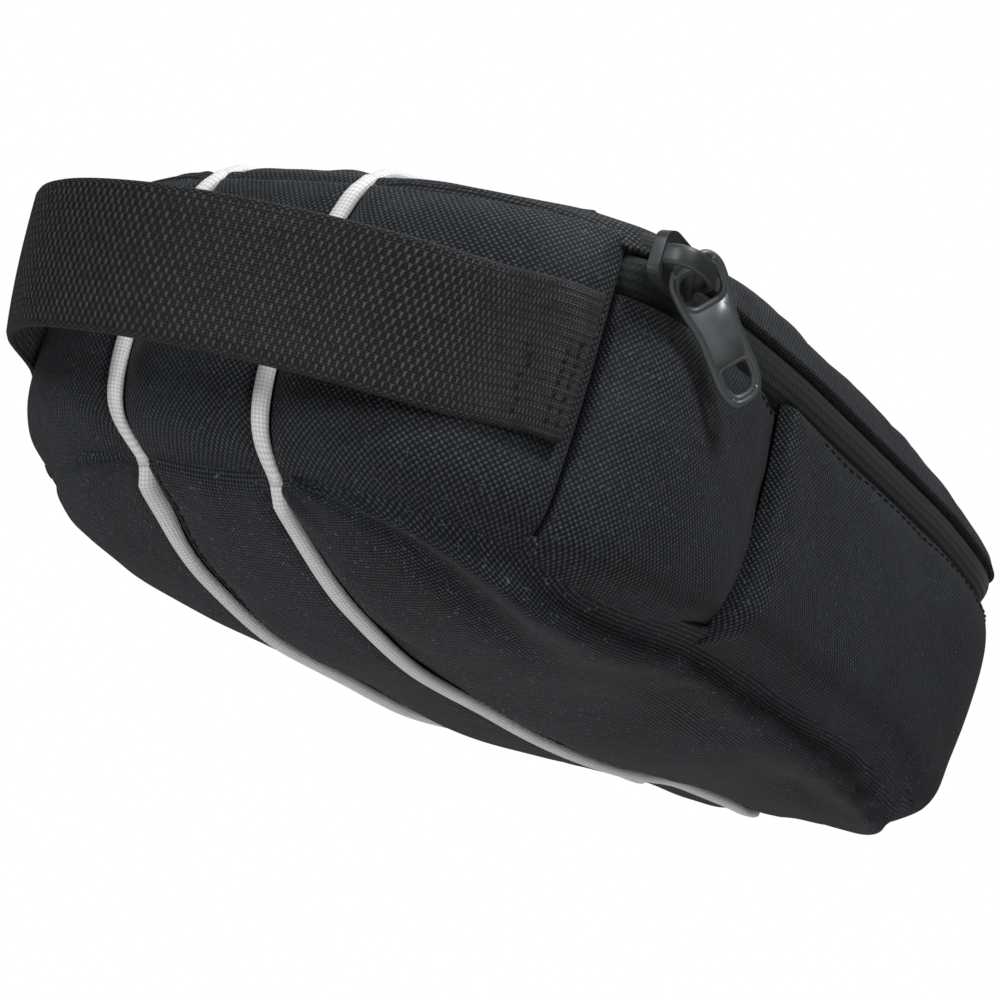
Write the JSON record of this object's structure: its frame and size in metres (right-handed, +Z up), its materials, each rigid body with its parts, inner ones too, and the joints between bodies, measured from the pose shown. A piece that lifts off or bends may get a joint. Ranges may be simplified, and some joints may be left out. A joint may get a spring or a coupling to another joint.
{
  "type": "saddle bag",
  "caption": "Padded bicycle saddle bag with a domed zipped lid, white piping round a middle band, a webbing loop at the nose and folded rail straps on top",
  "frame": {"origin": "middle of the flat part of the belly, on the surface that the bag stands on", "axes": "+X from the nose with the seat-post loop to the tail, +Z up to the saddle side, -Y is the bag's left side"},
  "size_m": [0.2023, 0.1256, 0.0882],
  "materials": {
    "shell": "coated polyester basket weave, charcoal black",
    "piping": "white woven piping",
    "webbing": "ribbed polypropylene webbing, black",
    "zip_tape": "woven polyester zip tape, dark grey green",
    "zip_coil": "moulded nylon coil",
    "slider_metal": "satin gunmetal paint on die-cast zinc",
    "foam": "closed-cell foam sheet, grey",
    "lining": "plain nylon lining, dark grey",
    "board": "polyethylene stiffener sheet, black"
  },
  "bodies": {
    "pouch": {"lower_face_centre": "shell", "lower_face_left": "shell", "lower_face_right": "shell", "upper_front_centre": "shell", "upper_front_left": "shell", "upper_front_right": "shell", "front_wall_centre": "shell", "front_wall_left": "shell", "front_wall_right": "shell", "side_wall_left": "shell", "side_wall_right": "shell", "rear_wall": "shell", "piping_lower_left": "piping", "piping_lower_right": "piping", "piping_upper_front_left": "piping", "piping_upper_front_right": "piping", "piping_front_left": "piping", "piping_front_right": "piping", "zip_tape_lower": "zip_tape", "zip_coil_lower": "zip_coil", "pouch_foam": "foam", "pouch_lining": "lining", "seat_post_loop": "webbing", "loop_bartack_left": "webbing", "loop_bartack_right": "webbing"},
    "lid": {"lid_face_centre": "shell", "lid_face_left": "shell", "lid_face_right": "shell", "piping_lid_left": "piping", "piping_lid_right": "piping", "zip_tape_upper": "zip_tape", "zip_coil_upper": "zip_coil", "lid_foam": "foam", "lid_board": "board", "lid_lining": "lining", "rail_strap_patch": "shell", "rail_strap_left": "webbing", "rail_strap_right": "webbing"},
    "slider": {"zip_slider": "slider_metal", "slider_bridge": "slider_metal"},
    "pull": {"zip_pull": "slider_metal"},
    "flap_left": {"strap_flap_left": "webbing"},
    "flap_right": {"strap_flap_right": "webbing"}
  },
  "joints": [
    {"name": "lid_open", "type": "hinge", "parent": "pouch", "child": "lid", "pos_m": [-0.0733, 0, 0.07], "axis": [0, -1, 0], "range_deg": [0, 70]},
    {"name": "slider_travel", "type": "slide", "parent": "pouch", "child": "slider", "axis": [0.9993, 0.0347, 0.0115], "range_m": [0, 0.119]},
    {"name": "pull_flip", "type": "hinge", "parent": "slider", "child": "pull", "pos_m": [-0.0717, -0.0628, 0.06], "axis": [0.6592, 0.0229, 0.7516], "range_deg": [-150, 0]},
    {"name": "flap_left_peel", "type": "hinge", "parent": "lid", "child": "flap_left", "pos_m": [-0.022, 0.022, 0.0866], "axis": [-1, 0, 0], "range_deg": [0, 150]},
    {"name": "flap_right_peel", "type": "hinge", "parent": "lid", "child": "flap_right", "pos_m": [0.014, -0.022, 0.0866], "axis": [1, 0, 0], "range_deg": [0, 150]}
  ]
}
